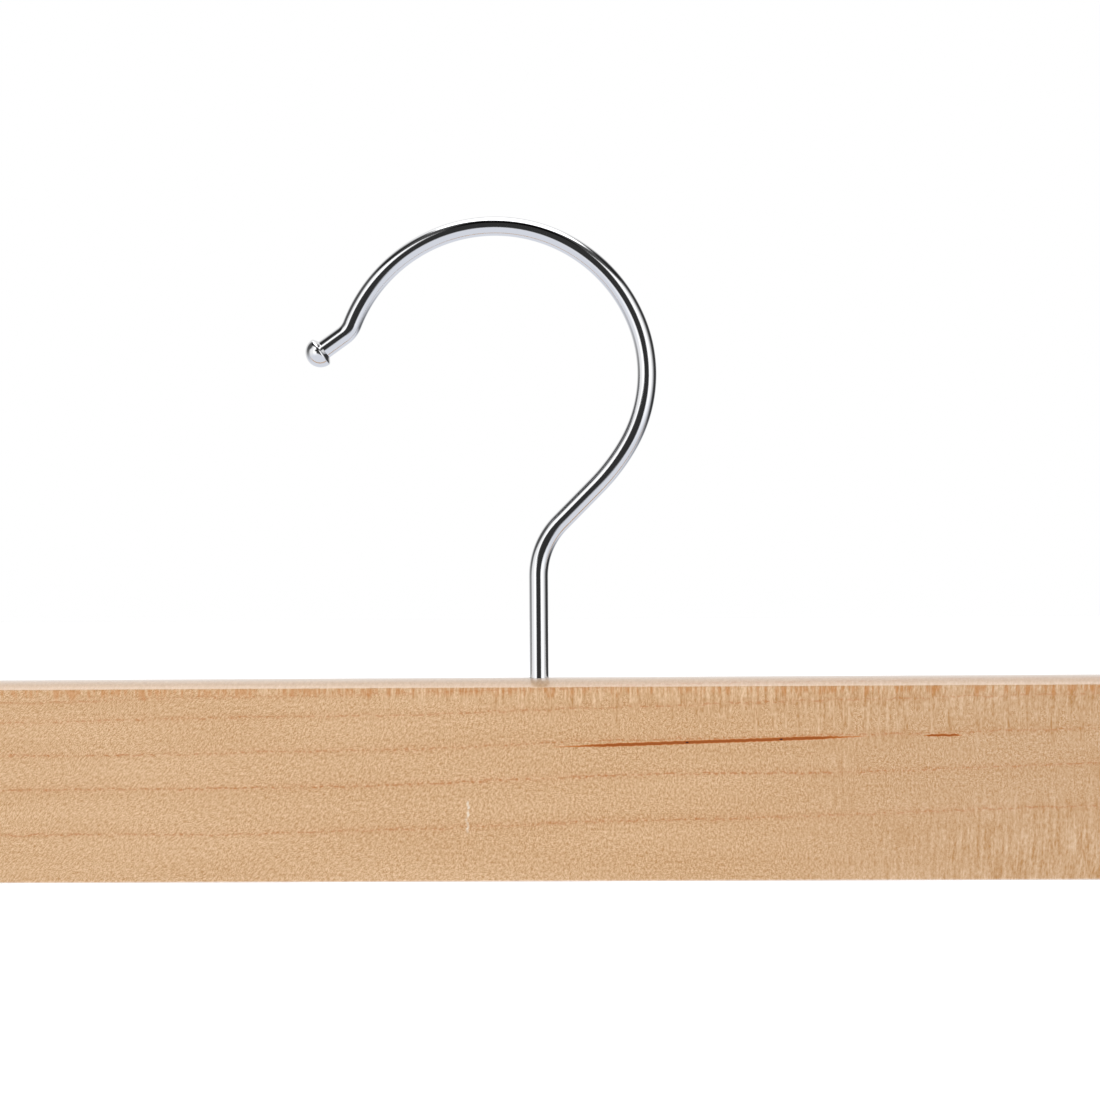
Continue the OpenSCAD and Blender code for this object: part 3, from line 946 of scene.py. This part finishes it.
def pad_mesh(name, to_world):
    """Ribbed rubber boot with a pocket for the jaw's lip."""
    inner = PAD_FACE_GAP
    outer = LIP_U + SHEET_T / 2 + PAD_SKIN
    top = LIP_TOP - 0.5
    lip_end = LIP_TOP - LIP_H
    bottom = lip_end - PAD_FLOOR
    half_w = LIP_W / 2 + PAD_SKIN
    corner = PAD_CORNER_R

    # Section across the pivot, as [outward, up]: round the top, down the grooved face, round the bottom
    outline = []
    for u, v, start in ((outer - corner, top - corner, 0), (inner + corner, top - corner, 90)):
        outline += arc((u, v), corner, start, start + 90, 6)
    for v in np.linspace(top - corner - 0.1, bottom + corner + 0.1, 73):
        share = (v - lip_end) / GROOVE_PITCH
        slope = (0.5 - abs(share % 1.0 - 0.25) * 2) * 4
        grooved = -0.05 < share < 4.6
        depth = GROOVE_DEPTH * min(1.0, max(0.0, slope)) if grooved else 0.0
        outline.append((inner + depth, v))
    for u, v, start in ((inner + corner, bottom + corner, 180), (outer - corner, bottom + corner, 270)):
        outline += arc((u, v), corner, start, start + 90, 6)

    # The section shrinks towards both ends, which rounds them
    outline = np.array(outline)
    section_middle = np.array([(inner + outer) / 2, (top + bottom) / 2])
    half_size = np.array([(outer - inner) / 2, (top - bottom) / 2])
    end_round = [(half_w - d, corner - r) for d, r in arc((corner, 0), corner, 180, 90, 5)]
    stations = [(-across, inset) for across, inset in end_round]
    stations += [(-half_w / 2, 0.0), (0.0, 0.0), (half_w / 2, 0.0)]
    stations += reversed(end_round)
    rings = []
    for across, inset in stations:
        shrunk = section_middle + (outline - section_middle) * (1 - inset / half_size)
        rings.append([(across, u, v) for u, v in shrunk])
    vertices, faces = skin(rings)
    boot = make_object(name, to_world(vertices), faces)

    slot_w = LIP_W / 2 + TOUCH_GAP
    slot_in = LIP_U - SHEET_T / 2 - TOUCH_GAP
    slot_out = LIP_U + SHEET_T / 2 + TOUCH_GAP
    slot = [(-slot_w, slot_in), (slot_w, slot_in), (slot_w, slot_out), (-slot_w, slot_out)]
    pocket = [[(x, u, v) for x, u in slot] for v in (lip_end - 0.07, top + 1.0)]
    vertices, faces = skin(pocket)
    carve(boot, [make_object(name + "_pocket", to_world(vertices), faces)])
    return boot


def sleeve_mesh(name, low, high, centre):
    """Tube with rolled flanges that the jaws hinge on."""
    flange = (high.z - low.z) / 2 / MM
    half = (high.x - low.x) / 2 / MM
    roll = FLANGE_T / 2
    profile = arc((half - roll, flange - roll), roll, 0, 180, 6)
    profile += [(half - FLANGE_T - 0.1, SLEEVE_OUT_R + 0.1), (half - FLANGE_T - 0.25, SLEEVE_OUT_R)]
    profile += [(-a, r) for a, r in reversed(profile)]
    mouth = [(half, SLEEVE_IN_R + 0.5), (half - 0.15, SLEEVE_IN_R + 0.15), (half - 0.5, SLEEVE_IN_R)]
    profile += [(-a, r) for a, r in mouth]
    profile += reversed(mouth)
    return lathe(name, profile, centre, "x", 72)


def spring_mesh(name, centre):
    """Torsion spring: a close coil with a leg against the inside of each finger tab."""
    count = 302
    coil = []
    for i in range(count + 1):
        turn = math.radians(180 + TAB_LEAN + COIL_SWEEP * i / count)
        out = np.array([0, math.cos(turn), math.sin(turn)])
        along = np.array([COIL_PITCH / (2 * math.pi), -COIL_R * math.sin(turn), COIL_R * math.cos(turn)])
        along /= np.linalg.norm(along)
        place_on_coil = np.array([COIL_L * (i / count - 0.5), 0, 0]) + COIL_R * out
        coil.append((place_on_coil, out, along))

    # Straight legs go on from both ends of the coil: rows of [place, outward, along the wire]
    legs = np.linspace(1.0, 0.0, 9)[:-1]
    first, last = coil[0], coil[-1]
    head = [(first[0] - SPRING_LEG * share * first[2], first[1], first[2]) for share in legs]
    tail = [(last[0] + SPRING_LEG * share * last[2], last[1], last[2]) for share in reversed(legs)]
    rows = head + coil + tail

    # Both tips are rounded: [distance from the tip, share of the radius]
    tip = [(0.0, 0.55), (0.05, 0.8), (0.15, 0.95), (0.3, 1.0)]
    first, last = rows[0], rows[-1]
    start_rows = [(first[0] + d * first[2], first[1], first[2]) for d, _ in tip]
    end_rows = [(last[0] - d * last[2], last[1], last[2]) for d, _ in reversed(tip)]
    tip_radii = [SPRING_R * share for _, share in tip]
    radii = tip_radii + [SPRING_R] * (len(rows) - 2) + tip_radii[::-1]
    rows = start_rows + rows[1:-1] + end_rows

    sides = 16
    turns = [2 * math.pi * k / sides for k in range(sides)]
    rings = []
    for (point, out, along), radius in zip(rows, radii):
        across = np.cross(along, out)
        rings.append([point + radius * (math.cos(a) * out + math.sin(a) * across) + centre for a in turns])
    return make_object(name, *skin(rings))


def build_clip(side):
    """A whole clip: sleeve, two jaws with their pads, and the spring."""
    centre = np.array(middle(side + "_pivot_sleeve"))
    low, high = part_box(side + "_pivot_sleeve")
    sleeve = sleeve_mesh(side + "_sleeve_tube", low, high, centre)
    place(sleeve, side + "_sleeve", "clip_steel", CLIP_STEEL, side + "_pivot_sleeve")
    for facing, outward in (("front", -1.0), ("rear", 1.0)):
        def to_world(points, is_place=True, outward=outward):
            turned = np.asarray(points, float) * np.array([1.0, outward, 1.0])
            return turned + centre if is_place else turned
        jaw = jaw_mesh(f"{side}_{facing}_jaw_plate", facing, to_world)
        place(jaw, f"{side}_{facing}_half", "clip_steel", CLIP_STEEL, f"{side}_{facing}_jaw")
        pad = pad_mesh(f"{side}_{facing}_grip_pad", to_world)
        place(pad, f"{side}_{facing}_half", "pad_rubber", RUBBER, f"{side}_{facing}_pad")

    # The spring stays where it is built and is not attached to either half
    spring = spring_mesh(side + "_coil_spring", centre)
    spring.data.materials.append(SPRING_STEEL)
    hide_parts(side + "_torsion_spring")
    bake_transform(spring)


build_bar()
build_hook()
build_fixings()
for clip_side in ("left", "right"):
    build_rail(clip_side)
    build_clip(clip_side)


# ---------------------------------------------------------------- studio

def build_floor():
    """A wide pale floor, a little below the clips, that glows enough to stay even."""
    half = 12.0
    level = cad_low.z - 0.03
    corners = [(-half, -half, level), (half, -half, level), (half, half, level), (-half, half, level)]
    mesh = bpy.data.meshes.new("studio_floor")
    mesh.from_pydata(corners, [], [(0, 1, 2, 3)])
    floor = bpy.data.objects.new("studio_floor", mesh)
    bpy.context.scene.collection.objects.link(floor)
    material = bpy.data.materials.new("studio_white")
    t = Tree(material)
    t.finish({
        "Base Color": (0.8, 0.8, 0.8),
        "Roughness": 0.9,
        "Emission Color": (1.0, 1.0, 1.0),
        "Emission Strength": 0.5,
    })
    mesh.materials.append(material)
    floor.visible_glossy = False


def build_world():
    """Soft studio light.

    Polished metal sees bright boxes at both sides and overhead, a dark area round the camera, darker gaps
    towards the rear sides, and a pale floor. Angles are in degrees, and azimuth 0 is the camera's direction.
    """
    world = bpy.data.worlds.new("studio")
    bpy.context.scene.world = world
    t = Tree(world)
    direction = t.add("ShaderNodeTexCoord").outputs["Generated"]
    right, back, up = t.split(direction)
    degrees = 180 / math.pi
    turned = t.product(t.maths("ARCTAN2", right, t.product(back, -1)), degrees)
    azimuth = t.maths("SUBTRACT", turned, CAMERA_YAW)
    elevation = t.product(t.maths("ARCSINE", up), degrees)
    away = t.maths("ABSOLUTE", azimuth)

    # Dark area round the camera, wider towards the upper left, and a dark strip above the side boxes
    left_reach = t.product(t.band(elevation, 9, 15, 8), 13.0)
    left_edge = t.smooth(t.maths("ADD", azimuth, left_reach), -38, -22)
    right_reach = t.product(t.band(elevation, -6, 4, 8), 4.0)
    right_edge = t.smooth(t.maths("ADD", azimuth, right_reach), 37, 20)
    low_edge = t.smooth(t.maths("ADD", elevation, t.product(azimuth, 0.2)), -24, -9)
    rise = t.total(elevation, t.smooth(azimuth, -35, -10, -6.0, 0.0), t.smooth(away, 58, 88, 0.0, 8.0))
    high_edge = t.smooth(rise, 73, 60)
    camera_gap = t.product(left_edge, right_edge, low_edge, high_edge)
    strip_gap = t.product(t.smooth(away, 118, 95), t.smooth(elevation, 36, 44), high_edge)

    # Gaps between the side boxes and the backdrop
    right_gap = t.product(
        t.smooth(azimuth, 50, 108), t.smooth(azimuth, 166, 124),
        t.smooth(elevation, -45, -8), high_edge,
    )
    low_shift = t.smooth(elevation, 28, 12, 0.0, 14.0)
    left_gap = t.product(
        t.smooth(t.maths("ADD", azimuth, low_shift), -60, -90), t.smooth(azimuth, -158, -116),
        t.smooth(elevation, -60, 30), high_edge,
    )

    # Bright parts: side boxes, the canopy overhead, the backdrop and the floor below
    lower = t.smooth(elevation, 2, -30)
    middle_strip = t.smooth(t.maths("ABSOLUTE", right), 0.75, 0.3)
    over = t.product(t.maths("ARCTAN2", up, t.product(back, -1)), degrees)
    canopy = t.product(t.smooth(over, 66, 82), t.smooth(over, 130, 108), middle_strip)
    box_light = t.product(t.band(away, 32, 50, 12), t.band(elevation, -20, 44, 14))
    backdrop = t.smooth(back, 0.6, 0.9)
    level = t.total(1.0, t.product(box_light, 0.35), t.product(canopy, 1.8), t.product(backdrop, -0.16))
    level = t.add("ShaderNodeMix", {0: lower, 2: level, 3: 0.84}).outputs[0]
    for gap, left_over in ((camera_gap, 0.035), (strip_gap, 0.07), (right_gap, 0.04), (left_gap, 0.1)):
        level = t.product(level, t.smooth(gap, 0, 1, 1.0, left_over))
    tint = t.mix(lower, (1.0, 1.0, 1.0), (0.93, 0.96, 1.04))
    seen = t.add("ShaderNodeVectorMath", {0: tint, "Scale": level}, operation="SCALE").outputs[0]

    # Matt surfaces get an even light that is weaker from above, and the camera sees plain white
    soft_level = t.smooth(elevation, 0, 75, 1.145, 0.6)
    rays = t.add("ShaderNodeLightPath").outputs
    lit = t.mix(rays["Is Glossy Ray"], t.vector(soft_level, soft_level, soft_level), seen)
    shown = t.mix(rays["Is Camera Ray"], lit, (1.0, 1.0, 1.0))
    background = t.add("ShaderNodeBackground", {"Color": shown, "Strength": 1.0})
    output = t.add("ShaderNodeOutputWorld")
    t.links.new(background.outputs[0], output.inputs[0])


def build_camera():
    """Level, long lens, a few degrees round to the right of the bar's middle."""
    distance = 1.3
    yaw = math.radians(CAMERA_YAW)
    roll = math.radians(0.39)
    target = Vector(((STEM_X + 2.3) * MM, 0.0, (BAR_TOP + 25.05) * MM))
    camera_data = bpy.data.cameras.new("camera")
    camera_data.sensor_width = 36.0
    camera_data.lens = 216.0
    camera = bpy.data.objects.new("camera", camera_data)
    bpy.context.scene.collection.objects.link(camera)
    camera.location = target + Vector((math.sin(yaw), -math.cos(yaw), 0)) * distance
    camera.rotation_mode = "XYZ"
    camera.rotation_euler = (math.pi / 2, roll, yaw)
    bpy.context.scene.camera = camera


build_floor()
build_world()
build_camera()
bpy.context.scene.view_settings.view_transform = "Standard"
